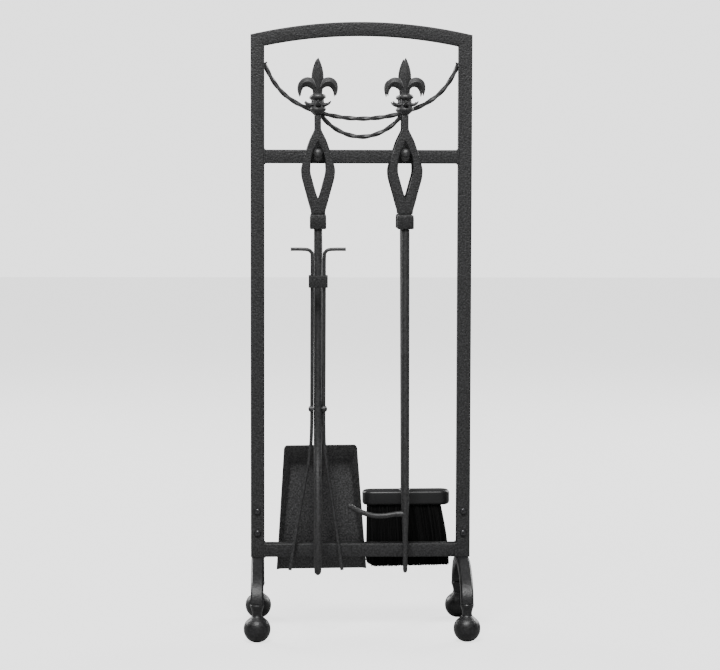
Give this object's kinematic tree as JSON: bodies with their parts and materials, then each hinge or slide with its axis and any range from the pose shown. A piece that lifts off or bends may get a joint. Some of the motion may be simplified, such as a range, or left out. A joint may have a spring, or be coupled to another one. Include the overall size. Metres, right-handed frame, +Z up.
{
  "type": "fireplace tool set",
  "caption": "Black steel fireplace tool stand with arched frame, cast legs and ball feet, carrying hanging tongs, poker, shovel and brush with fleur finials.",
  "frame": {"origin": "on the floor, midway between the four feet", "axes": "+Z up, +X to the right seen from the front, -Y to the front, where the tongs and poker hang"},
  "size_m": [0.2962, 0.1996, 0.774],
  "materials": {
    "hammered_black_steel": "fine hammer-grain black powder coat, semi-matt",
    "cast_black_iron": "painted casting, slightly grainy, semi-matt black",
    "black_fastener": "blackened steel, satin",
    "satin_black_block": "satin moulded black",
    "black_bristle": "black synthetic fibre"
  },
  "bodies": {
    "stand": {"top_arch": "hammered_black_steel", "left_upright": "hammered_black_steel", "right_upright": "hammered_black_steel", "crossbar": "hammered_black_steel", "bottom_bar": "hammered_black_steel", "long_swag": "hammered_black_steel", "short_swag": "hammered_black_steel", "left_leg": "cast_black_iron", "right_leg": "cast_black_iron", "front_left_foot": "cast_black_iron", "rear_left_foot": "cast_black_iron", "front_right_foot": "cast_black_iron", "rear_right_foot": "cast_black_iron", "left_upper_screw": "black_fastener", "left_upper_nut": "black_fastener", "left_lower_screw": "black_fastener", "left_lower_nut": "black_fastener", "right_upper_screw": "black_fastener", "right_upper_nut": "black_fastener", "right_lower_screw": "black_fastener", "right_lower_nut": "black_fastener", "front_left_hook": "hammered_black_steel", "front_right_hook": "hammered_black_steel", "rear_left_hook": "hammered_black_steel", "rear_right_hook": "hammered_black_steel", "left_hook_tab": "hammered_black_steel", "right_hook_tab": "hammered_black_steel"},
    "tongs": {"tongs_finial": "cast_black_iron", "tongs_handle": "hammered_black_steel", "tongs_ferrule": "hammered_black_steel", "tongs_shaft": "hammered_black_steel", "tongs_pivot_rivet": "black_fastener"},
    "tongs_fork": {"tongs_left_arm": "hammered_black_steel", "tongs_right_arm": "hammered_black_steel", "tongs_bridge": "hammered_black_steel"},
    "poker": {"poker_finial": "cast_black_iron", "poker_handle": "hammered_black_steel", "poker_ferrule": "hammered_black_steel", "poker_shaft": "hammered_black_steel", "poker_spur": "hammered_black_steel"},
    "shovel": {"shovel_finial": "cast_black_iron", "shovel_handle": "hammered_black_steel", "shovel_ferrule": "hammered_black_steel", "shovel_shaft": "hammered_black_steel", "shovel_pan": "hammered_black_steel", "shovel_rivet": "black_fastener"},
    "brush": {"brush_finial": "cast_black_iron", "brush_handle": "hammered_black_steel", "brush_ferrule": "hammered_black_steel", "brush_shaft": "hammered_black_steel", "brush_block": "satin_black_block", "brush_bristles": "black_bristle"}
  },
  "joints": [
    {"name": "tongs_pull_off", "type": "slide", "parent": "stand", "child": "tongs", "axis": [0, -0.9781, 0.2079], "range_m": [0, 0.12]},
    {"name": "poker_pull_off", "type": "slide", "parent": "stand", "child": "poker", "axis": [0, -0.9781, 0.2079], "range_m": [0, 0.12]},
    {"name": "shovel_pull_off", "type": "slide", "parent": "stand", "child": "shovel", "axis": [0, 0.9781, 0.2079], "range_m": [0, 0.12]},
    {"name": "brush_pull_off", "type": "slide", "parent": "stand", "child": "brush", "axis": [0, 0.9781, 0.2079], "range_m": [0, 0.12]},
    {"name": "tongs_jaw", "type": "hinge", "parent": "tongs", "child": "tongs_fork", "pos_m": [-0.055, -0.025, 0.2865], "axis": [1, 0, 0], "range_deg": [-7.5, 0]}
  ]
}
